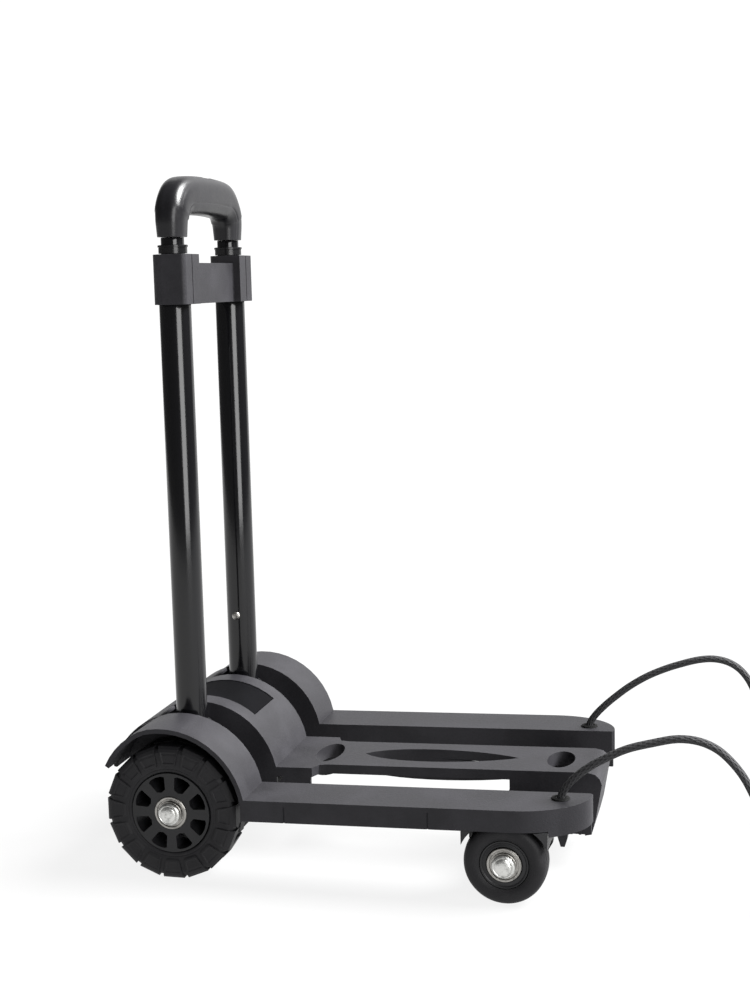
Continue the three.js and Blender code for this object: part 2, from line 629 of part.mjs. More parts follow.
// two sleeves round the outer tubes, joined by a lower bridge that is open behind
function collar() {
  const end = COLLAR_INNER + 2;
  const ribTop = COLLAR_BOTTOM + 10;
  const bridgeBack = BRIDGE_WALL - BRIDGE_FRONT;
  let body = solid(box(-end, end, -BRIDGE_FRONT, bridgeBack, COLLAR_BOTTOM, BRIDGE_TOP));
  body = body.add(solid(box(-end, end, -BRIDGE_FRONT, COLLAR_REAR - 5, COLLAR_BOTTOM, ribTop)));
  for (const side of [-1, 1]) {
    body = body.add(solid(extrudeZ(sleeveOutline(side), COLLAR_BOTTOM, COLLAR_TOP, 8)));
  }
  for (const side of [-1, 1]) {
    const bore = rodZ(COLLAR_BOTTOM - 1, COLLAR_TOP + 1, POST_R + GAP, side * POST_X, 0);
    body = body.subtract(solid(bore));
    // upright shadow line in the face of the sleeve
    const line = box(side * POST_X - 0.5, side * POST_X + 0.5, -COLLAR_FRONT - 1, 0.6 - COLLAR_FRONT,
      COLLAR_BOTTOM - 1, COLLAR_TOP + 1);
    body = body.subtract(solid(line));
  }
  return geometryOf(body);
}

// ring that closes the gap between the middle and the inner tube
function cap() {
  const bore = INNER_R + GAP;
  const z = CAP_TOP - CAP_HEIGHT;
  return latheZ([[z, bore], [z, MIDDLE_R + 0.9], [CAP_TOP - 0.5, MIDDLE_R + 0.9], [CAP_TOP, MIDDLE_R + 0.4],
    [CAP_TOP, bore]], 24, POST_X, 0);
}

function rivet() {
  const radius = 3;
  const g = new THREE.SphereGeometry(radius, 12, 8);
  g.scale(0.5, 1, 1);
  g.translate(POST_X - POST_R - radius / 2 - GAP, 0, RIVET_Z);
  return g;
}

function gripPath() {
  const mid = GRIP_TOP - GRIP_HALF_THICK;
  const shoulder = mid - GRIP_ARCH;
  const bend = GRIP_BEND * 0.45;
  const inset = POST_X - GRIP_BEND;
  const low = shoulder - GRIP_BEND;
  const v = (x, z) => new THREE.Vector3(x, 0, z);
  const path = new THREE.CurvePath();
  path.add(new THREE.LineCurve3(v(-POST_X, GRIP_BOTTOM), v(-POST_X, low)));
  path.add(new THREE.CubicBezierCurve3(v(-POST_X, low), v(-POST_X, shoulder - bend),
    v(-POST_X + bend, shoulder - 0.6), v(-inset, shoulder + 0.6)));
  path.add(new THREE.CubicBezierCurve3(v(-inset, shoulder + 0.6), v(-inset * 0.5, mid),
    v(inset * 0.5, mid), v(inset, shoulder + 0.6)));
  path.add(new THREE.CubicBezierCurve3(v(inset, shoulder + 0.6), v(POST_X - bend, shoulder - 0.6),
    v(POST_X, shoulder - bend), v(POST_X, low)));
  path.add(new THREE.LineCurve3(v(POST_X, low), v(POST_X, GRIP_BOTTOM)));
  return path;
}

// section of the grip: depth across the arch, thickness in its plane
function gripSection() {
  const corners = 28;
  const power = 2 / GRIP_SQUARE;
  const swell = (value) => Math.sign(value) * Math.abs(value) ** power;
  const points = [];
  for (let i = 0; i < corners; i += 1) {
    const angle = i * Math.PI * 2 / corners;
    points.push([GRIP_HALF_DEPTH * swell(Math.cos(angle)), GRIP_HALF_THICK * swell(Math.sin(angle))]);
  }
  return shapeOf(points);
}

function grip() {
  const bar = new THREE.ExtrudeGeometry(gripSection(), { steps: 44, extrudePath: gripPath() });
  const [rx, ry] = BUTTON_HALF;
  const well = box(-rx, rx, -ry, ry, GRIP_TOP - BUTTON_SINK, GRIP_TOP + 5);
  return geometryOf(solid(bar).subtract(solid(well)));
}

function pushButton() {
  const corner = 3;
  const [rx, ry] = BUTTON_HALF.map((half) => half - GAP - corner);
  const outline = new THREE.Shape();
  outline.absarc(rx, ry, corner, 0, Math.PI / 2, false);
  outline.absarc(-rx, ry, corner, Math.PI / 2, Math.PI, false);
  outline.absarc(-rx, -ry, corner, Math.PI, Math.PI * 1.5, false);
  outline.absarc(rx, -ry, corner, Math.PI * 1.5, Math.PI * 2, false);
  return extrudeZ(outline, GRIP_TOP - BUTTON_SINK + 4.5, GRIP_TOP - 1.6, 5);
}

// ---- cord --------------------------------------------------------------------------------
const NEAR_CORD = [[-80, -253, 50], [-80, -253, 58], [-80, -253.6, 66], [-80.2, -257.5, 73], [-81, -264, 80],
  [-81.6, -272, 86.5], [-82, -281, 92], [-82, -294, 98.5], [-82, -309, 103], [-82, -325, 106.5],
  [-82, -338, 105.5], [-82, -348.5, 101], [-82, -357, 93.5], [-82, -364, 84.5], [-81.8, -370, 73],
  [-81.4, -376, 60], [-80.6, -383, 45], [-79, -391, 30], [-76.5, -400, 17], [-72, -410, 8], [-65, -420, 3.6],
  [-56, -429.5, 2.6], [-46, -438, 2.5], [-36.5, -446.5, 2.5], [-29.5, -454.5, 2.5], [-27.6, -458, 2.5]];
const FAR_CORD = [[80, -253, 50], [80, -253, 58], [80, -253.4, 66], [80.4, -257, 72], [81.2, -264, 79.5],
  [82.2, -272, 86.5], [83.2, -281, 93.5], [84.2, -293, 101], [85, -306, 107], [85, -318.5, 111.5],
  [85, -330, 114.7], [85, -340, 115.7], [85, -349.5, 114], [85, -357.5, 109.5], [85, -364, 102],
  [84.8, -369.5, 91], [84.4, -375, 77], [83.8, -381, 62], [82.8, -388, 46], [81, -396, 31], [78, -405, 18],
  [73, -414.5, 9], [66, -424, 4.2], [57, -432.5, 3], [47.5, -440, 4], [38.5, -447, 8], [31, -453.5, 12.4],
  [27.8, -458, 14.8]];

function cordAlong(points) {
  const curve = new THREE.CatmullRomCurve3(points.map((p) => new THREE.Vector3(...p)), false, 'centripetal');
  const section = new THREE.Shape();
  section.absarc(0, 0, CORD_R, 0, Math.PI * 2, false);
  return new THREE.ExtrudeGeometry(section, { steps: 44, extrudePath: curve, curveSegments: 4 });
}

function coil() {
  const height = CORD_R * 2 * (COIL_TURNS + 1);
  return latheZ([[0, COIL_R - CORD_R], [0, COIL_R + CORD_R], [height, COIL_R + CORD_R],
    [height, COIL_R - CORD_R]], 32, 0, COIL_Y);
}

function knot() {
  const flat = 0.8;
  const g = new THREE.SphereGeometry(KNOT_R, 14, 10);
  g.scale(1, 1, flat);
  g.translate(CORD_HOLE_X, CORD_HOLE_Y, armTop(CORD_HOLE_Y) - ARM_DEPTH - GAP - KNOT_R * flat);
  return g;
}

function eyelet() {
  const z = armTop(CORD_HOLE_Y) + GAP;
  const bore = CORD_R + 1.2;
  return latheZ([[z, bore], [z, 6], [z + 0.6, 5.6], [z + 1, bore]], 20, CORD_HOLE_X, CORD_HOLE_Y);
}

// ---- assembly ----------------------------------------------------------------------------
put('deck', deck(), plastic());
put('barrel_panel', barrelPanel(), plastic());
put('rear_cross_member', rearCrossMember(), plastic());
put('front_cross_member', frontCrossMember(), plastic());
pair('arm', sideArm(), plastic);
pair('post_guard', postGuard(), plastic);
pair('fork', fork(), plastic);
put('rear_axle', rodX(-REAR_OUT, REAR_OUT, AXLE_R, 0, REAR_WHEEL_R), steel());
put('front_axle', rodX(-FRONT_OUT, FRONT_OUT, AXLE_R, -WHEELBASE, FRONT_WHEEL_R), steel());
pair('rear_washer', washer(REAR_OUT, 0, REAR_WHEEL_R), steel);
pair('front_washer', washer(FRONT_OUT, -WHEELBASE, FRONT_WHEEL_R), steel);
pair('rear_bolt', bolt(REAR_OUT, 0, REAR_WHEEL_R), steel);
pair('front_bolt', bolt(FRONT_OUT, -WHEELBASE, FRONT_WHEEL_R), steel);
pair('rear_tyre', rearTyre(), rubber);
pair('rear_rim', rearRim(), plastic);
pair('rear_bearing', bearing(REAR_OUT, 0, REAR_WHEEL_R), steel);
pair('front_tyre', frontTyre(), rubber);
pair('front_rim', frontRim(), plastic);
pair('front_bearing', bearing(FRONT_OUT, -WHEELBASE, FRONT_WHEEL_R), steel);
pair('outer_tube', tube(POST_R, SOCKET_BOTTOM + GAP, COLLAR_TOP - 0.5), paint);
pair('foot', foot(), plastic);
pair('rivet', rivet(), steel);
put('collar', collar(), plastic());
pair('middle_tube', tube(MIDDLE_R, SOCKET_BOTTOM + 2, CAP_TOP - CAP_HEIGHT - GAP), paint);
pair('middle_cap', cap(), plastic);
pair('inner_tube', tube(INNER_R, SOCKET_BOTTOM + 6, GRIP_BOTTOM - GAP), paint);
put('grip', grip(), plastic());
put('push_button', pushButton(), plastic());
pair('cord_eyelet', eyelet(), steel);
pair('cord_knot', knot(), cordMat);
put('left_cord', cordAlong(NEAR_CORD), cordMat());
put('right_cord', cordAlong(FAR_CORD), cordMat());
put('cord_coil', coil(), cordMat());

// the frame's origin is the middle of the trolley's footprint without the cord, on the floor
const extent = new THREE.Box3();
for (const mesh of root.children) {
  if (!mesh.name.includes('cord')) extent.expandByObject(mesh);
}
const centre = extent.getCenter(new THREE.Vector3());
for (const mesh of root.children) mesh.geometry.translate(-centre.x, -centre.y, 0);

export default root;
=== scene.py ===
# %% [markdown]
# # A folding luggage trolley in black plastic and gloss tube
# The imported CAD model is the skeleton: it fixes every size and every joint. This lesson loads it, sets the
# camera and the light, lays the elastic cord, then gives each moulding, tube and tyre its finish.
# %% Load the frame
import math

import bmesh
import bpy
from mathutils import Matrix, Vector


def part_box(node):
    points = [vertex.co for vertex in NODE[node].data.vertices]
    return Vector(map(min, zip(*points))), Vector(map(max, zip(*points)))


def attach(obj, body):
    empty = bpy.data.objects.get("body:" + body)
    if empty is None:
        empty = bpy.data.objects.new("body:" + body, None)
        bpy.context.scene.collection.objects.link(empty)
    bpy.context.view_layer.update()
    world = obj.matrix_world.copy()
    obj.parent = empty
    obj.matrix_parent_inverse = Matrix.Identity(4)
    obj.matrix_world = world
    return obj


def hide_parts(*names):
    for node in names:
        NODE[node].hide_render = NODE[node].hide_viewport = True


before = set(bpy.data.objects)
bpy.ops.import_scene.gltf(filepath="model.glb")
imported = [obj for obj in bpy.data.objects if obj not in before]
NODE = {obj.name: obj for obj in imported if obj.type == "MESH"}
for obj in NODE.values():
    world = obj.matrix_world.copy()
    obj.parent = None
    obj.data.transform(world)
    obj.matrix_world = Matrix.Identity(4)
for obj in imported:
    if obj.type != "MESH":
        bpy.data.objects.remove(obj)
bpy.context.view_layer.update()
for ob in [o for o in bpy.data.objects if o.type in ("LIGHT", "CAMERA")]:
    bpy.data.objects.remove(ob)


def middle(name):
    """Centre of a CAD node at rest."""
    low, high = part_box(name)
    return (low + high) / 2


AXLE = middle("rear_axle")
FRONT_AXLE = middle("front_axle")
SHIFT_Y = AXLE.y             # the rear axle lies this far behind the frame's origin
print("CAD nodes:", len(NODE), "rear axle at y", round(SHIFT_Y, 4))
# %% [markdown]
# ## Camera
# The trolley is seen from its left front corner by a long lens held at about handle height, so the posts stay
# nearly upright while the base is seen from above. The lens is long because a short one would splay the
# posts.
# %% Camera
FOCAL = 1.54305              # focal length as a share of the frame's long side
BEARING, DIP, ROLL = math.radians(-75.56), math.radians(8.08), math.radians(-1.4)
EYE = Vector((-1.00407, -0.37623 + SHIFT_Y, 0.38607))

back = Vector((math.sin(BEARING) * math.cos(DIP), -math.cos(BEARING) * math.cos(DIP), math.sin(DIP)))
right = back.cross(Vector((0, 0, 1))).normalized() * -1
up = back.cross(right)
right, up = (right * math.cos(ROLL) + up * math.sin(ROLL), up * math.cos(ROLL) - right * math.sin(ROLL))
cam_data = bpy.data.cameras.new("camera")
cam_data.sensor_width = 36
cam_data.lens = FOCAL * cam_data.sensor_width
camera = bpy.data.objects.new("camera", cam_data)
camera.matrix_world = Matrix.Translation(EYE) @ Matrix((right, up, back)).transposed().to_4x4()
bpy.context.scene.collection.objects.link(camera)
bpy.context.scene.camera = camera
print("camera looks along", [round(-c, 3) for c in back])
# %% [markdown]
# ## Small helpers
# Every finish below is a node tree. Writing `noise * 2 - 1` is easier to read than wiring Math nodes by hand,
# so one small class wraps a socket and turns Python's operators into nodes.
# %% Shader helper
class Wire:
    """A socket in a node tree; arithmetic on it adds Math nodes."""

    def __init__(self, tree, socket):
        self.tree, self.socket = tree, socket

    def math(self, operation, *others, clamp=False):
        made = self.tree.nodes.new("ShaderNodeMath")
        made.operation, made.use_clamp = operation, clamp
        for place, value in enumerate((self, *others)):
            plug(self.tree, made.inputs[place], value)
        return Wire(self.tree, made.outputs[0])

    def __add__(self, other):
        return self.math("ADD", other)

    def __sub__(self, other):
        return self.math("SUBTRACT", other)

    def __rsub__(self, other):
        made = self.tree.nodes.new("ShaderNodeMath")
        made.operation = "SUBTRACT"
        made.inputs[0].default_value = other
        plug(self.tree, made.inputs[1], self)
        return Wire(self.tree, made.outputs[0])

    def __mul__(self, other):
        return self.math("MULTIPLY", other)

    def __truediv__(self, other):
        return self.math("DIVIDE", other)

    def __pow__(self, other):
        return self.math("POWER", other)

    __radd__, __rmul__ = __add__, __mul__

    def step(self, low, high):
        """0 below low, 1 above high, smooth between."""
        made = self.tree.nodes.new("ShaderNodeMapRange")
        made.interpolation_type = "SMOOTHSTEP"
        plug(self.tree, made.inputs["Value"], self)
        plug(self.tree, made.inputs["From Min"], low)
        plug(self.tree, made.inputs["From Max"], high)
        return Wire(self.tree, made.outputs["Result"])


def plug(tree, socket, value):
    if isinstance(value, Wire):
        tree.links.new(value.socket, socket)
    elif value is not None:
        socket.default_value = value


class Finish:
    """A material and its node tree, with one method that adds any node."""

    def __init__(self, name, color, roughness, metallic=0.0, specular=0.5):
        self.material = bpy.data.materials.new(name)
        self.material.use_nodes = True
        self.tree = self.material.node_tree
        self.shader = self.tree.nodes["Principled BSDF"]
        self.set(**{"Base Color": (*color, 1), "Roughness": roughness, "Metallic": metallic,
                    "Specular IOR Level": specular})

    def set(self, **sockets):
        for name, value in sockets.items():
            plug(self.tree, self.shader.inputs[name], value)

    def node(self, kind, out=0, settings=None, **sockets):
        made = self.tree.nodes.new("ShaderNode" + kind)
        for name, value in (settings or {}).items():
            setattr(made, name, value)
        for name, value in sockets.items():
            plug(self.tree, made.inputs[name.replace("_", " ")], value)
        return Wire(self.tree, made.outputs[out])

    def place(self, coordinate="Object"):
        made = self.tree.nodes.new("ShaderNodeTexCoord")
        return Wire(self.tree, made.outputs[coordinate])

    def noise(self, scale, detail=2.0, rough=0.5, at=None):
        made = self.tree.nodes.new("ShaderNodeTexNoise")
        plug(self.tree, made.inputs["Vector"], at or self.place())
        made.inputs["Scale"].default_value = scale
        made.inputs["Detail"].default_value = detail
        made.inputs["Roughness"].default_value = rough
        return Wire(self.tree, made.outputs["Fac"])

    def mix(self, amount, low, high):
        made = self.tree.nodes.new("ShaderNodeMix")
        made.data_type = "RGBA"
        plug(self.tree, made.inputs[0], amount)
        plug(self.tree, made.inputs[6], low if isinstance(low, Wire) else (*low, 1))
        plug(self.tree, made.inputs[7], high if isinstance(high, Wire) else (*high, 1))
        return Wire(self.tree, made.outputs[2])

    def bump(self, height, distance, strength=1.0, under=None):
        return self.node("Bump", Height=height, Distance=distance, Strength=strength, Normal=under)
# %% [markdown]
# ## The elastic cord
# A braided elastic cord, 5 mm thick, is knotted under the front hole of each arm. It rises out of the eyelets
# in two springy arches, drops to the floor and is wound into one small coil. The route is a short list of points
# in millimetres, turned into metres. A smooth curve runs through them and a round section is swept along it,
# with a UV map for the braid.
# %% Route of the cord
CORD_R = 0.0025
COIL_R, COIL_Y, COIL_TURNS = 0.0275, -0.475, 2.5
LEFT_ROUTE = [(-80, -253, 50), (-80, -253, 58), (-80, -253.6, 66), (-80.2, -257.5, 73), (-81, -264, 80),
              (-81.6, -272, 86.5), (-82, -281, 92), (-82, -294, 98.5), (-82, -309, 103), (-82, -325, 106.5),
              (-82, -338, 105.5), (-82, -348.5, 101), (-82, -357, 93.5), (-82, -364, 84.5), (-81.8, -370, 73),
              (-81.4, -376, 60), (-80.6, -383, 45), (-79, -391, 30), (-76.5, -400, 17), (-72, -410, 8),
              (-65, -420, 3.6), (-56, -429.5, 2.6), (-46, -438, 2.5), (-36.5, -446.5, 2.5),
              (-29.5, -454.5, 2.5), (-27.6, -458, 2.5)]
RIGHT_ROUTE = [(80, -253, 50), (80, -253, 58), (80, -253.4, 66), (80.4, -257, 72), (81.2, -264, 79.5),
               (82.2, -272, 86.5), (83.2, -281, 93.5), (84.2, -293, 101), (85, -306, 107),
               (85, -318.5, 111.5),
               (85, -330, 114.7), (85, -340, 115.7), (85, -349.5, 114), (85, -357.5, 109.5), (85, -364, 102),
               (84.8, -369.5, 91), (84.4, -375, 77), (83.8, -381, 62), (82.8, -388, 46), (81, -396, 31),
               (78, -405, 18), (73, -414.5, 9), (66, -424, 4.2), (57, -432.5, 3), (47.5, -440, 4),
               (38.5, -447, 8), (31, -453.5, 12.4), (27.8, -458, 14.8)]


def in_metres(points):
    return [Vector((x / 1000, y / 1000, z / 1000)) for x, y, z in points]


def coil_points(per_turn=24):
    steps = int(per_turn * COIL_TURNS)
    found = []
    for i in range(steps + 1):
        turned = i / per_turn
        angle = math.pi + turned * 2 * math.pi
        found.append(Vector((COIL_R * math.cos(angle), COIL_Y + COIL_R * math.sin(angle),
                             CORD_R + turned * 2 * CORD_R)))
    return found


route = in_metres(LEFT_ROUTE) + coil_points() + list(reversed(in_metres(RIGHT_ROUTE)))
for p in route:
    p.y += SHIFT_Y
print("route points:", len(route))
# %% Sweep a round section along a route
def smooth_line(points, per_step):
    """Centripetal Catmull-Rom through the points."""
    line = []
    ends = [points[0] * 2 - points[1], *points, points[-1] * 2 - points[-2]]
    for a, b, c, d in zip(ends, ends[1:], ends[2:], ends[3:]):
        t1 = (b - a).length ** 0.5
        t2 = t1 + (c - b).length ** 0.5
        t3 = t2 + (d - c).length ** 0.5
        for i in range(per_step):
            t = t1 + (t2 - t1) * i / per_step
            a1 = a * ((t1 - t) / t1) + b * (t / t1)
            a2 = b * ((t2 - t) / (t2 - t1)) + c * ((t - t1) / (t2 - t1))
            a3 = c * ((t3 - t) / (t3 - t2)) + d * ((t - t2) / (t3 - t2))
            b1 = a1 * ((t2 - t) / t2) + a2 * (t / t2)
            b2 = a2 * ((t3 - t) / (t3 - t1)) + a3 * ((t - t1) / (t3 - t1))
            line.append(b1 * ((t2 - t) / (t2 - t1)) + b2 * ((t - t1) / (t2 - t1)))
    line.append(points[-1].copy())
    return line


def swept(name, line, radius, sides=14):
    """A closed round tube along a line, with U along it in metres and V round it."""
    mesh = bmesh.new()
    uv = mesh.loops.layers.uv.new("UVMap")
    tangent = (line[1] - line[0]).normalized()
    normal = tangent.orthogonal().normalized()
    rings, along, run = [], [], 0.0
    for i, p in enumerate(line):
        ahead = (line[min(i + 1, len(line) - 1)] - line[max(i - 1, 0)]).normalized()
        normal = (normal - ahead * normal.dot(ahead)).normalized()
        side = ahead.cross(normal)
        run += (p - line[i - 1]).length if i else 0.0
        along.append(run)
        rings.append([mesh.verts.new(p + normal * (radius * math.cos(a)) + side * (radius * math.sin(a)))
                      for a in (2 * math.pi * k / sides for k in range(sides))])
    for i in range(len(rings) - 1):
        for k in range(sides):
            n = (k + 1) % sides
            face = mesh.faces.new((rings[i][k], rings[i][n], rings[i + 1][n], rings[i + 1][k]))
            face.smooth = True
            for loop, spot in zip(face.loops, ((along[i], k), (along[i], k + 1), (along[i + 1], k + 1),
                                               (along[i + 1], k))):
                loop[uv].uv = (spot[0], spot[1] / sides)
    mesh.faces.new(list(reversed(rings[0])))
    mesh.faces.new(rings[-1])
    data = bpy.data.meshes.new(name)
    mesh.to_mesh(data)
    mesh.free()
    piece = bpy.data.objects.new(name, data)
    bpy.context.scene.collection.objects.link(piece)
    return piece, run


cord_line = smooth_line(route, 4)
cord, cord_length = swept("elastic_cord", cord_line, CORD_R)
print("cord length", round(cord_length, 3))
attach(cord, "base")
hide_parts("left_cord", "right_cord", "cord_coil")
# %% [markdown]
# ## Finishes
# A finely textured moulded plastic, gloss black paint on the tubes, rubber, zinc plated steel and the braided
# cord. Each takes its pattern from Object coordinates, so that it stays put when the parts move.
# %% Moulded plastic
def moulded(name, color, roughness, grain, specular=0.42):
    f = Finish(name, color, roughness, specular=specular)
    fine = f.noise(1500, 3, 0.65)
    speck = f.noise(520, 2, 0.6)
    broad = f.noise(26, 4, 0.55)
    worn = broad.step(0.36, 0.68)
    f.set(**{"Base Color": f.mix(worn, [c * 0.82 for c in color], [c * 1.22 for c in color]),
             "Roughness": (worn * 0.09 + speck * 0.12 + (roughness - 0.1)),
             "Normal": f.bump(fine, grain, under=f.bump(speck, grain * 1.6))})
    return f.material


PLASTIC = moulded("moulded plastic", (0.0185, 0.018, 0.0205), 0.5, 0.00009, 0.15)
DARK_PLASTIC = moulded("dark moulded plastic", (0.010, 0.010, 0.011), 0.40, 0.00004, 0.3)
# A near-black copy of the plastic for the cross members and the eyelets: painted shade, because these parts sit
# in shade.
PAINTED_SHADE_PLASTIC = moulded("plastic in shade", (0.004, 0.004, 0.004), 0.7, 0.00004, 0.1)
# The barrel's recessed panel gets a near-black copy of the plastic with almost no gloss: painted shade of the
# recess.
RECESS_SHADE_PLASTIC = moulded("smooth panel", (0.003, 0.003, 0.0035), 0.8, 0.00002, 0.02)
GRIP_PLASTIC = moulded("satin grip", (0.006, 0.0058, 0.007), 0.34, 0.00003, 0.35)
CAP_PLASTIC = moulded("glossy cap", (0.003, 0.003, 0.0035), 0.2, 0.00001, 0.35)
# %% Paint, rubber, steel
def gloss_paint():
    f = Finish("gloss black paint", (0.0025, 0.0025, 0.003), 0.2, specular=0.45)
    peel = f.noise(420, 2, 0.5)
    haze = f.noise(14, 3, 0.5)
    f.set(**{"Roughness": haze * 0.08 + 0.1, "Normal": f.bump(peel, 0.000008)})
    return f.material


def tyre_rubber():
    color = (0.0095, 0.0093, 0.0105)
    f = Finish("tyre rubber", color, 0.62, specular=0.2)
    dust = f.noise(60, 4, 0.6).step(0.45, 0.75)
    fine = f.noise(1800, 2, 0.5)
    f.set(**{"Base Color": f.mix(dust * 0.6, color, (0.019, 0.0185, 0.0195)),
             "Roughness": dust * 0.14 + 0.52, "Normal": f.bump(fine, 0.00005)})
    return f.material


def zinc_steel(name, color, rough):
    """Dull plating with a cloudy spangle and a little dark grime."""
    f = Finish(name, color, rough, metallic=1.0)
    spangle = f.noise(700, 3, 0.65)
    grime = f.noise(260, 3, 0.6).step(0.5, 0.72)
    f.set(**{"Base Color": f.mix(grime * 0.7, color, [c * 0.42 for c in color]),
             "Roughness": spangle * 0.25 + (rough - 0.12), "Normal": f.bump(spangle, 0.00012)})
    return f.material


PAINT, RUBBER = gloss_paint(), tyre_rubber()
STEEL = zinc_steel("zinc plated steel", (0.62, 0.62, 0.60), 0.36)
RACE_STEEL = zinc_steel("bearing race", (0.34, 0.33, 0.31), 0.34)
# %% Braided cord
def braid():
    f = Finish("braided cord", (0.012, 0.012, 0.013), 0.8)
    parts = f.node("SeparateXYZ", 0, None, Vector=f.place("UV"))
    u = Wire(f.tree, parts.socket.node.outputs[0])
    v = Wire(f.tree, parts.socket.node.outputs[1])
    turns = u * 160
    one = ((turns + v * 8) * (2 * math.pi)).math("SINE")
    two = ((turns - v * 8) * (2 * math.pi)).math("SINE")
    strands = one.math("MAXIMUM", two)
    # The cord's colour follows the strand height: darker in the gaps between strands as painted shade, lighter
    # on the crests as painted sheen.
    f.set(**{"Base Color": f.mix(strands.step(-0.2, 0.9), (0.006, 0.006, 0.007), (0.022, 0.022, 0.024)),
             "Normal": f.bump(strands, 0.00025)})
    return f.material


CORD = braid()
cord.data.materials.append(CORD)
# %% Give each CAD node its finish
FINISH_WORDS = [("tyre", RUBBER, "rubber"), ("tube", PAINT, "paint"), ("eyelet", PAINTED_SHADE_PLASTIC, "steel"),
                ("axle", STEEL, "steel"), ("bolt", STEEL, "steel"), ("washer", RACE_STEEL, "steel"),
                ("bearing", RACE_STEEL, "steel"), ("rivet", RACE_STEEL, "steel"), ("cord", CORD, "cord"),
                ("panel", RECESS_SHADE_PLASTIC, "plastic"), ("grip", GRIP_PLASTIC, "plastic"),
                ("rim", DARK_PLASTIC, "plastic"), ("foot", DARK_PLASTIC, "plastic"),
                ("cap", CAP_PLASTIC, "plastic"), ("fork", DARK_PLASTIC, "plastic"),
                ("member", PAINTED_SHADE_PLASTIC, "plastic"), ("button", DARK_PLASTIC, "plastic"),
                ("", PLASTIC, "plastic")]


def finish_of(name):
    """The material and the slot word that go with a node's name."""
    return next((material, slot) for word, material, slot in FINISH_WORDS if word in name)


for name, node in NODE.items():
    node.data.materials.clear()
    node.data.materials.append(finish_of(name)[0])


def stand_in(piece, name, body):
    """piece takes the place of the CAD node of that name."""
    material, slot = finish_of(name)
    if not piece.data.materials:
        piece.data.materials.append(material)
    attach(piece, body)
    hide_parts(name)
    return piece


def object_of(name, mesh):
    """A new object from a bmesh, which is freed."""
    data = bpy.data.meshes.new(name)
    mesh.to_mesh(data)
    mesh.free()
    piece = bpy.data.objects.new(name, data)
    bpy.context.scene.collection.objects.link(piece)
    return piece
# %% [markdown]
# ## Rounded mouldings
# The CAD solids have knife edges. A copy of each is merged, its flat facets joined, and a bevel takes the
# edges off, which is what makes moulded plastic look moulded: every edge catches a thin line of light.
# %% Round the edges of a CAD solid
def rounded(name, width, body, segments=3, angle=32):
    mesh = bmesh.new()
    mesh.from_mesh(NODE[name].data)
    bmesh.ops.remove_doubles(mesh, verts=mesh.verts, dist=0.00002)
    bmesh.ops.dissolve_limit(mesh, angle_limit=math.radians(1.5), verts=mesh.verts, edges=mesh.edges)
    for face in mesh.faces:
        face.smooth = True
    piece = object_of(name + "_rounded", mesh)
    piece.data.materials.clear()
    bevel = piece.modifiers.new("soft edges", "BEVEL")
    bevel.width, bevel.segments, bevel.limit_method = width, segments, "ANGLE"
    bevel.angle_limit = math.radians(angle)
    weighted = piece.modifiers.new("even shading", "WEIGHTED_NORMAL")
    weighted.keep_sharp = True
    return stand_in(piece, name, body)


for name in ("deck", "left_arm", "right_arm"):
    rounded(name, 0.0012, "base")
for name in ("left_post_guard", "right_post_guard"):
    rounded(name, 0.0009, "base", 2)
for name in ("left_fork", "right_fork", "rear_cross_member", "front_cross_member", "barrel_panel"):
    rounded(name, 0.0007, "base", 2)
for name in ("left_foot", "right_foot", "collar"):
    rounded(name, 0.0011, "handle_frame")
rounded("push_button", 0.0009, "button", 2)
for side in ("left", "right"):
    rounded(side + "_rear_rim", 0.0008, side + "_rear_wheel", 3)
print("rounded the mouldings")
# %% [markdown]
# ## Turned pieces
# Tubes, bearings, bolts and the small tyres are round, so each is turned from a short profile: pairs of
# distance along the axis and radius, in millimetres. Enough steps are taken for a clean outline, and corners
# stay crisp.
# %% Turn a profile about an axis
def turned(name, node, profile, axis, centre, body, steps=72, sharp=35):
    """profile is a closed loop of (along, radius) in mm; a radius of 0 closes on the axis."""
    mesh = bmesh.new()
    along = Vector(axis)
    across = Vector((0, 0, 1)) if abs(along.z) < 0.5 else Vector((0, 1, 0))
    third = along.cross(across)
    rings = []
    for distance, radius in profile:
        spot = centre + along * (distance / 1000)
        count = 1 if radius == 0 else steps
        angles = [2 * math.pi * k / steps for k in range(count)]
        rings.append([mesh.verts.new(spot + (across * math.cos(a) + third * math.sin(a)) * (radius / 1000))
                      for a in angles])
    for low, high in zip(rings, rings[1:] + rings[:1]):
        if len(low) == len(high) == 1:
            continue
        for k in range(steps):
            n = (k + 1) % steps
            corners = [low[k % len(low)], low[n % len(low)], high[n % len(high)], high[k % len(high)]]
            mesh.faces.new(list(dict.fromkeys(corners)))
    bmesh.ops.recalc_face_normals(mesh, faces=mesh.faces)
    for face in mesh.faces:
        face.smooth = True
    piece = object_of(name, mesh)
    piece.data.set_sharp_from_angle(angle=math.radians(sharp))
    return stand_in(piece, node, body)


def tube_profile(low, high, radius, wall):
    """A drawn tube with a rolled upper rim."""
    bore = radius - wall
    return [(low, bore), (low, radius), (high - 0.4, radius), (high - 0.12, radius - 0.12),
            (high, radius - 0.4), (high, bore + 0.3), (high - 0.3, bore)]


def cap_profile(height):
    """A ring that fits over a tube's end, with a thicker rim at the top."""
    rim, skirt, bore = CAP_R, CAP_R - 0.5, CAP_BORE
    return [(0, bore), (0, skirt), (height - 1.6, skirt), (height - 1.4, rim), (height - 0.3, rim),
            (height, rim - 0.4), (height, bore)]
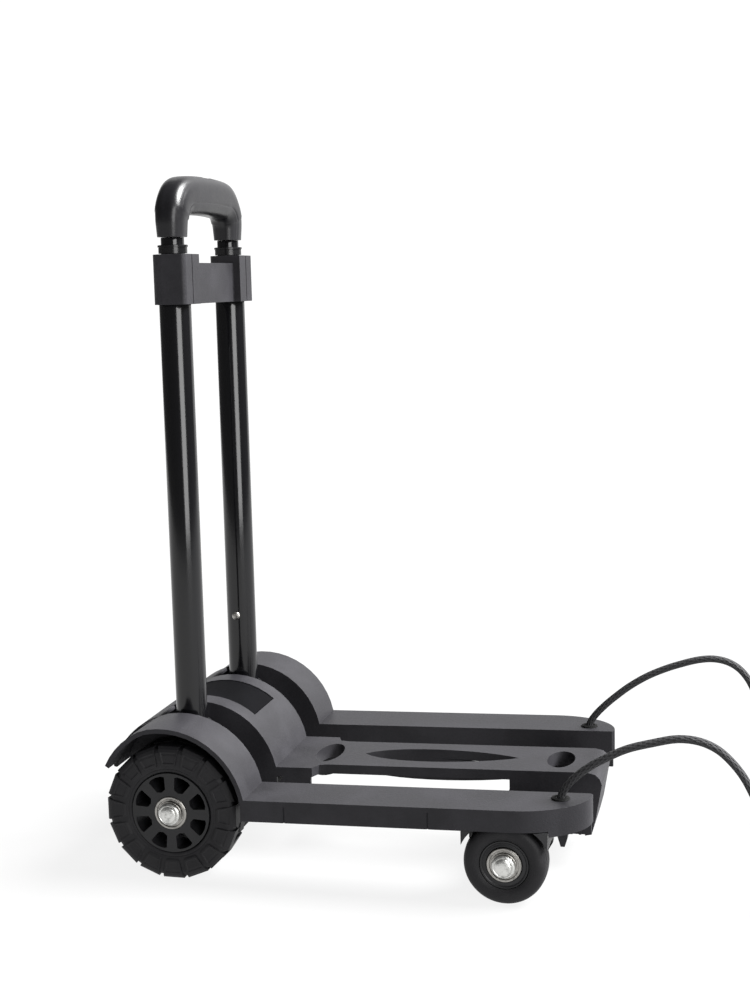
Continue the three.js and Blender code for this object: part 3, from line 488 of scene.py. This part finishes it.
# %% Tubes and caps
TUBE_WALL = 1.1
CAP_R, CAP_BORE = 9.9, 7.9
TUBE_BODY = {"outer_tube": "handle_frame", "middle_tube": "{side}_middle_stage", "inner_tube": "handle_top"}
UP = (0, 0, 1)
for side in ("left", "right"):
    for kind, body in TUBE_BODY.items():
        node = f"{side}_{kind}"
        low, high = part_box(node)
        foot = Vector((middle(node).x, middle(node).y, 0))
        profile = tube_profile(low.z * 1000, high.z * 1000, (high.x - low.x) * 500, TUBE_WALL)
        turned(node + "_drawn", node, profile, UP, foot, body.format(side=side), 64)
    cap = f"{side}_middle_cap"
    low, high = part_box(cap)
    foot = Vector((middle(cap).x, middle(cap).y, low.z))
    profile = cap_profile((high.z - low.z) * 1000)
    turned(cap + "_turned", cap, profile, UP, foot, f"{side}_middle_stage", 56)
print("drew the tubes")
# %% Hub hardware: bearings, washers, bolts
def bearing_profile(width):
    """Outer race, sunk seal, inner race; x runs outwards."""
    half = width / 2
    seal = half - 0.7
    return [(-half, 4.3), (half, 4.3), (half, 5.8), (seal, 6.0), (seal, 6.6), (seal + 0.15, 7.0),
            (seal + 0.15, 8.4), (seal, 8.9), (seal, 9.1), (half - 0.1, 9.3), (half, 9.5), (half, 10.6),
            (half - 0.4, 11), (-half, 11)]


BOLT_PROFILE = [(0, 0), (0, 7.0), (0.15, 7.4), (1.0, 7.4), (1.3, 7.15), (1.75, 6.7), (1.95, 6.2), (1.75, 5.9),
                (1.75, 5.6), (2.5, 5.2), (3.0, 4.4), (3.3, 3.2), (3.5, 1.8), (3.6, 0)]
WASHER_PROFILE = [(0, 4.3), (0, 8.0), (0.15, 8.2), (0.85, 8.2), (1, 8.0), (1, 4.3)]
for side, sign in (("left", -1), ("right", 1)):
    outwards = (sign, 0, 0)
    for wheel, axle in (("rear", AXLE), ("front", FRONT_AXLE)):
        ring = f"{side}_{wheel}_bearing"
        turned(ring + "_turned", ring, bearing_profile(7), outwards,
               Vector((middle(ring).x, axle.y, axle.z)), f"{side}_{wheel}_wheel", 80)
        for kind, profile in (("bolt", BOLT_PROFILE), ("washer", WASHER_PROFILE)):
            node = f"{side}_{wheel}_{kind}"
            low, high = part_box(node)
            start = low.x if sign > 0 else high.x
            turned(node + "_turned", node, profile, outwards, Vector((start, axle.y, axle.z)), "base", 56, 28)
# %% Small front wheels
def front_tyre_profile():
    """Half width 11, radius 26.5: a soft crown with one fine groove near each shoulder."""
    side = [(-9.6, 15.75), (-10.6, 17.6), (-10.95, 19), (-11, 20.5), (-10.6, 22.3), (-9.9, 23.9),
            (-8.6, 25.2), (-7.0, 25.9), (-5.6, 26.2), (-5.3, 25.8), (-4.9, 25.8), (-4.6, 26.3),
            (-2.5, 26.45), (0, 26.5)]
    return side + [(-x, r) for x, r in reversed(side[:-1])]


FRONT_RIM_PROFILE = [(-9.8, 4.3), (3.2, 4.3), (3.2, 11.3), (8.9, 11.3), (9.2, 11.6), (9.2, 12.6), (9.0, 12.9),
                     (9.0, 13.7), (9.3, 14.0), (9.7, 14.6), (9.7, 15.2), (9.4, 15.4), (-9.8, 15.4)]
for side, sign in (("left", -1), ("right", 1)):
    body = f"{side}_front_wheel"
    tyre, rim = f"{side}_front_tyre", f"{side}_front_rim"
    turned(tyre + "_turned", tyre, front_tyre_profile(), (sign, 0, 0), middle(tyre), body, 112, 40)
    turned(rim + "_turned", rim, FRONT_RIM_PROFILE, (sign, 0, 0), middle(rim), body, 88)
print("turned the hubs and the small wheels")
# %% [markdown]
# ## Lugged rear tyres
# A tyre is one turned carcass with chunky shoulder lugs. One lug is modelled: a block over the shoulder whose
# side carries a sunk cup inside a raised rim. A node group repeats it round the wheel, with the inner row half
# a step behind the outer one, and turns the result into one plain mesh.
# %% Carcass and lug
TYRE_R, TYRE_HALF, RIM_SEAT = 44.9, 12.9, 27.0
LUGS = 16


def lathe_mesh(name, profile, steps=96):
    """A closed profile of (x, r) in mm turned about the x axis."""
    mesh = bmesh.new()
    rings = [[mesh.verts.new((x / 1000, r / 1000 * math.sin(a), r / 1000 * math.cos(a)))
              for a in (2 * math.pi * k / steps for k in range(steps))] for x, r in profile]
    for low, high in zip(rings, rings[1:] + rings[:1]):
        for k in range(steps):
            n = (k + 1) % steps
            mesh.faces.new((low[k], low[n], high[n], high[k]))
    bmesh.ops.recalc_face_normals(mesh, faces=mesh.faces)
    for face in mesh.faces:
        face.smooth = True
    return object_of(name, mesh)


def carcass_profile():
    half = [(TYRE_HALF - 2.6, RIM_SEAT), (TYRE_HALF - 1.6, RIM_SEAT + 0.7), (TYRE_HALF - 1.3, 29.2),
            (TYRE_HALF - 1.55, 29.6), (TYRE_HALF - 1.2, 30), (TYRE_HALF - 0.9, 33), (TYRE_HALF - 1.0, 37),
            (TYRE_HALF - 0.9, 40.8), (TYRE_HALF - 2.4, 43.1), (TYRE_HALF - 6.5, 43.8)]
    return half + [(-x, r) for x, r in reversed(half)]


def lug(name, sign):
    """A shoulder lug at the top of the wheel, on the +x side for sign 1."""
    rows = [(31.0, 11.9, 4.0), (32.2, 12.55, 4.6), (33.4, 12.75, 5.0), (38.6, 12.8, 6.1), (40.8, 12.3, 6.6),
            (42.8, 11.6, 7.1), (TYRE_R - 0.3, 10.2, 7.4)]
    mesh = bmesh.new()
    side = [[mesh.verts.new((sign * x / 1000, t / 1000, r / 1000)) for t in (-w, -w + 1.15, w - 1.15, w)]
            for r, x, w in rows]
    crown = [mesh.verts.new((sign * x / 1000, t / 1000, z / 1000))
             for x, z in ((6.0, TYRE_R - 0.3), (1.6, TYRE_R - 0.4)) for t in (-7.2, -6.1, 6.1, 7.2)]
    near, far = crown[:4], crown[4:]
    root = [mesh.verts.new((sign * x / 1000, t / 1000, z / 1000))
            for x, z in ((9.5, 30.0), (1.6, 40.5)) for t in (-3.2, 3.2)]
    faces = []
    strips = side + [near, far]
    for low, high in zip(strips, strips[1:]):
        for k in range(3):
            faces.append(mesh.faces.new((low[k], low[k + 1], high[k + 1], high[k])))
    for edge in (0, 3):
        rim = [strip[edge] for strip in strips]
        ends = root[0 if edge == 0 else 1], root[2 if edge == 0 else 3]
        mesh.faces.new([*rim, ends[1], ends[0]])
    mesh.faces.new([root[0], root[1], *reversed(side[0])])
    mesh.faces.new([root[2], root[3], *reversed(far)])
    mesh.faces.new([root[0], root[2], root[3], root[1]])
    cup = [faces[3 * row + 1] for row in (2, 3)]
    bmesh.ops.recalc_face_normals(mesh, faces=mesh.faces)
    bmesh.ops.inset_region(mesh, faces=cup, thickness=0.0005, depth=-0.0004, use_even_offset=True)
    for face in mesh.faces:
        face.smooth = False
    return object_of(name, mesh)


# %% Node group that rings the tyre with lugs
def tyre_group():
    group = bpy.data.node_groups.new("ring of lugs", "GeometryNodeTree")
    face = group.interface
    face.new_socket("Carcass", in_out="INPUT", socket_type="NodeSocketGeometry")
    for label, kind in (("Outer lug", "Object"), ("Inner lug", "Object"), ("Lugs", "Int"),
                        ("Rubber", "Material")):
        face.new_socket(label, in_out="INPUT", socket_type="NodeSocket" + kind)
    face.new_socket("Tyre", in_out="OUTPUT", socket_type="NodeSocketGeometry")

    def add(kind, **settings):
        made = group.nodes.new(kind)
        for key, value in settings.items():
            setattr(made, key, value)
        return made

    def join(source, target):
        group.links.new(source, target)

    given, result = add("NodeGroupInput"), add("NodeGroupOutput")
    gather = add("GeometryNodeJoinGeometry")
    join(given.outputs["Carcass"], gather.inputs[0])
    for label, shift in (("Outer lug", 0.0), ("Inner lug", 0.5)):
        source = add("GeometryNodeObjectInfo")
        join(given.outputs[label], source.inputs["Object"])
        spots = add("GeometryNodeMeshLine")
        join(given.outputs["Lugs"], spots.inputs["Count"])
        spots.inputs["Offset"].default_value = (0, 0, 0)
        place = add("ShaderNodeMath", operation="ADD")
        join(add("GeometryNodeInputIndex").outputs[0], place.inputs[0])
        place.inputs[1].default_value = shift
        turn = add("ShaderNodeMath", operation="MULTIPLY")
        join(place.outputs[0], turn.inputs[0])
        turn.inputs[1].default_value = 2 * math.pi
        share = add("ShaderNodeMath", operation="DIVIDE")
        join(turn.outputs[0], share.inputs[0])
        join(given.outputs["Lugs"], share.inputs[1])
        angles = add("ShaderNodeCombineXYZ")
        join(share.outputs[0], angles.inputs["X"])
        copies = add("GeometryNodeInstanceOnPoints")
        join(spots.outputs["Mesh"], copies.inputs["Points"])
        join(source.outputs["Geometry"], copies.inputs["Instance"])
        join(angles.outputs[0], copies.inputs["Rotation"])
        join(copies.outputs["Instances"], gather.inputs[0])
    real, dress = add("GeometryNodeRealizeInstances"), add("GeometryNodeSetMaterial")
    join(gather.outputs[0], real.inputs[0])
    join(real.outputs[0], dress.inputs["Geometry"])
    join(given.outputs["Rubber"], dress.inputs["Material"])
    join(dress.outputs[0], result.inputs[0])
    return group


def ringed_tyre(side, sign, group):
    base = lathe_mesh("carcass", carcass_profile())
    lugs = lug("outer lug", sign), lug("inner lug", -sign)
    modifier = base.modifiers.new("lugs", "NODES")
    modifier.node_group = group
    sockets = {item.name: item.identifier for item in group.interface.items_tree if item.in_out == "INPUT"}
    modifier[sockets["Outer lug"]], modifier[sockets["Inner lug"]] = lugs
    modifier[sockets["Lugs"]] = LUGS
    modifier[sockets["Rubber"]] = RUBBER
    base.update_tag()
    graph = bpy.context.evaluated_depsgraph_get()
    data = bpy.data.meshes.new_from_object(base.evaluated_get(graph))
    data.name = side + "_lugged_tyre"
    data.transform(Matrix.Translation(middle(side + "_rear_tyre")))
    for helper in (base, *lugs):
        bpy.data.objects.remove(helper)
    piece = bpy.data.objects.new(data.name, data)
    bpy.context.scene.collection.objects.link(piece)
    soft = piece.modifiers.new("soft lug edges", "BEVEL")
    soft.width, soft.segments, soft.limit_method, soft.angle_limit = 0.00035, 2, "ANGLE", math.radians(30)
    return stand_in(piece, side + "_rear_tyre", side + "_rear_wheel")


RING = tyre_group()
for side, sign in (("left", -1), ("right", 1)):
    tyre = ringed_tyre(side, sign, RING)
    print(tyre.name, len(tyre.data.polygons), "faces")
# %% [markdown]
# ## Grip
# The grip is drawn along the same arch as its CAD solid, with a full, slightly square section, legs that taper
# and carry soft ridges, and one fine parting line. A rounded well is cut for the button.
# %% Shape the grip
GRIP_LOW, GRIP_HIGH = (corner * 1000 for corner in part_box("grip"))
POST_X = middle("right_outer_tube").x * 1000
HALF_THICK, HALF_DEPTH, BEND, ARCH = 13.0, 10.6, 17.5, 2.4
GRIP_TOP = 459


def bezier(a, b, c, d, count):
    return [a * (1 - t) ** 3 + b * (3 * t * (1 - t) ** 2) + c * (3 * t * t * (1 - t)) + d * t ** 3
            for t in (i / count for i in range(count))]


def grip_line():
    """The centre of the grip from the left foot over the bar to the right foot, in mm."""
    mid = GRIP_TOP - HALF_THICK
    shoulder, tight, inset = mid - ARCH, BEND * 0.45, POST_X - BEND
    low = shoulder - BEND

    def v(x, z):
        return Vector((x, 0, z))

    leg = [v(-POST_X, GRIP_LOW.z + (low - GRIP_LOW.z) * i / 8) for i in range(8)]
    corner = bezier(v(-POST_X, low), v(-POST_X, shoulder - tight), v(tight - POST_X, shoulder - 0.6),
                    v(-inset, shoulder + 0.6), 18)
    bar = bezier(v(-inset, shoulder + 0.6), v(-inset / 2, mid), v(inset / 2, mid),
                 v(inset, shoulder + 0.6), 28)
    half = leg + corner
    return half + bar + [v(-p.x, p.z) for p in ([v(-inset, shoulder + 0.6)] + list(reversed(half)))]


def grip_section(angle, leg, taper):
    """Offsets (outwards, across) in mm. Legs are fluted by soft ridges and taper towards the foot."""
    power = 2 / (3.0 - 0.5 * leg)
    c, s = math.cos(angle), math.sin(angle)
    ridge = 1 - 0.028 * leg * (1 - abs(math.cos(3 * angle + math.pi / 2)))
    out = math.copysign(abs(c) ** power, c) * HALF_THICK * 0.985 * ridge * (1 - 0.07 * taper)
    depth = HALF_DEPTH * (1.0 + 0.03 * (1 - leg))
    across = math.copysign(abs(s) ** power, s) * depth * ridge * (1 - 0.15 * taper)
    parting = max(0.0, 1 - abs(abs(math.degrees(angle) - 180) - 74) / 2.8)
    return out * (1 - 0.02 * parting), across * (1 - 0.05 * parting)


def shaped_grip(sides=96):
    line = grip_line()
    mesh = bmesh.new()
    rings = []
    for i, p in enumerate(line):
        ahead = (line[min(i + 1, len(line) - 1)] - line[max(i - 1, 0)]).normalized()
        outwards = Vector((-ahead.z, 0, ahead.x))
        leg = min(1.0, max(0.0, (abs(p.x) - 30) / 18))
        taper = max(0.0, 1 - (p.z - GRIP_LOW.z) / 20) if abs(p.x) > POST_X - 1 else 0.0
        ring = []
        for k in range(sides):
            out, across = grip_section(2 * math.pi * k / sides, leg, taper)
            ring.append(mesh.verts.new((p + outwards * out + Vector((0, across, 0))) / 1000
                                       + Vector((0, SHIFT_Y, 0))))
        rings.append(ring)
    for low, high in zip(rings, rings[1:]):
        for k in range(sides):
            n = (k + 1) % sides
            mesh.faces.new((low[k], low[n], high[n], high[k]))
    mesh.faces.new(rings[0])
    mesh.faces.new(list(reversed(rings[-1])))
    bmesh.ops.recalc_face_normals(mesh, faces=mesh.faces)
    for face in mesh.faces:
        face.smooth = True
    return object_of("shaped_grip", mesh)


def well_cutter():
    """A rounded block where the button sits."""
    mesh = bmesh.new()
    bmesh.ops.create_cube(mesh, size=1)
    spot = Vector((0, SHIFT_Y, (GRIP_HIGH.z - 3) / 1000))
    bmesh.ops.transform(mesh, matrix=Matrix.Translation(spot) @ Matrix.Diagonal((0.023, 0.015, 0.016, 1)),
                        verts=mesh.verts)
    uprights = [e for e in mesh.edges if abs((e.verts[0].co - e.verts[1].co).normalized().z) > 0.9]
    bmesh.ops.bevel(mesh, geom=uprights, offset=0.0032, segments=5, affect="EDGES")
    return object_of("well cutter", mesh)


grip, cutter = shaped_grip(), well_cutter()
cut = grip.modifiers.new("well", "BOOLEAN")
cut.object, cut.operation, cut.solver = cutter, "DIFFERENCE", "EXACT"
graph = bpy.context.evaluated_depsgraph_get()
carved = bpy.data.meshes.new_from_object(grip.evaluated_get(graph))
grip.modifiers.clear()
grip.data = carved
bpy.data.objects.remove(cutter)
grip.data.set_sharp_from_angle(angle=math.radians(38))
lip = grip.modifiers.new("soft edges", "BEVEL")
lip.width, lip.segments, lip.limit_method, lip.angle_limit = 0.0006, 2, "ANGLE", math.radians(45)
stand_in(grip, "grip", "handle_top")
print("grip", len(grip.data.polygons), "faces")
# %% [markdown]
# ## Floor and light
# A white studio. The floor glows, so that shadows on it stay faint. A very soft lamp high in front lights the
# tops and the faces that look forwards. A second lamp at the left front draws one bright stripe down each tube.
# The far side of the room is white and the near side dim, so that the near sides of the arms stay dark.
# %% Floor
def floor():
    f = Finish("white floor", (0.05, 0.05, 0.05), 0.9, specular=0.0)
    f.set(**{"Emission Color": (1, 1, 1, 1), "Emission Strength": 0.86})
    mesh = bmesh.new()
    bmesh.ops.create_circle(mesh, cap_ends=True, segments=96, radius=30)
    piece = object_of("floor", mesh)
    piece.data.materials.append(f.material)


floor()
# %% Lights
def soft_light(name, place, aim, size, power):
    data = bpy.data.lights.new(name, "AREA")
    data.shape, data.size, data.energy = "SQUARE", size, power
    lamp = bpy.data.objects.new(name, data)
    bpy.context.scene.collection.objects.link(lamp)
    lamp.location = place
    lamp.rotation_euler = (Vector(place) - Vector(aim)).to_track_quat("Z", "Y").to_euler()


def sky(strength, angle, direction):
    """A very soft lamp at no distance in particular, so that the whole floor is lit alike."""
    data = bpy.data.lights.new("sky", "SUN")
    data.energy, data.angle = strength, math.radians(angle)
    lamp = bpy.data.objects.new("sky", data)
    bpy.context.scene.collection.objects.link(lamp)
    lamp.rotation_euler = Vector(direction).to_track_quat("Z", "Y").to_euler()


sky(16.0, 34, (0.22, -0.66, 0.72))
soft_light("front", (-1.75, -1.65, 0.95), (0, 0, 0.25), 1.4, 46)


FAR_GLOW, NEAR_GLOW = 1.07, 0.14


def room():
    """White on the far side, dim behind the camera and to either side of the trolley."""
    world = bpy.data.worlds.new("room")
    bpy.context.scene.world = world
    world.use_nodes = True
    tree = world.node_tree
    surface = tree.nodes["Background"]
    where = tree.nodes.new("ShaderNodeTexCoord")
    facing = tree.nodes.new("ShaderNodeVectorMath")
    facing.operation = "DOT_PRODUCT"
    tree.links.new(where.outputs["Generated"], facing.inputs[0])
    facing.inputs[1].default_value = (0.99, 0.087, 0.1)
    share = Wire(tree, facing.outputs["Value"]).step(0.66, 0.78)
    plug(tree, surface.inputs["Strength"], share * (FAR_GLOW - NEAR_GLOW) + NEAR_GLOW)
    surface.inputs["Color"].default_value = (1, 1, 1, 1)


room()
bpy.context.scene.view_settings.view_transform = "Standard"
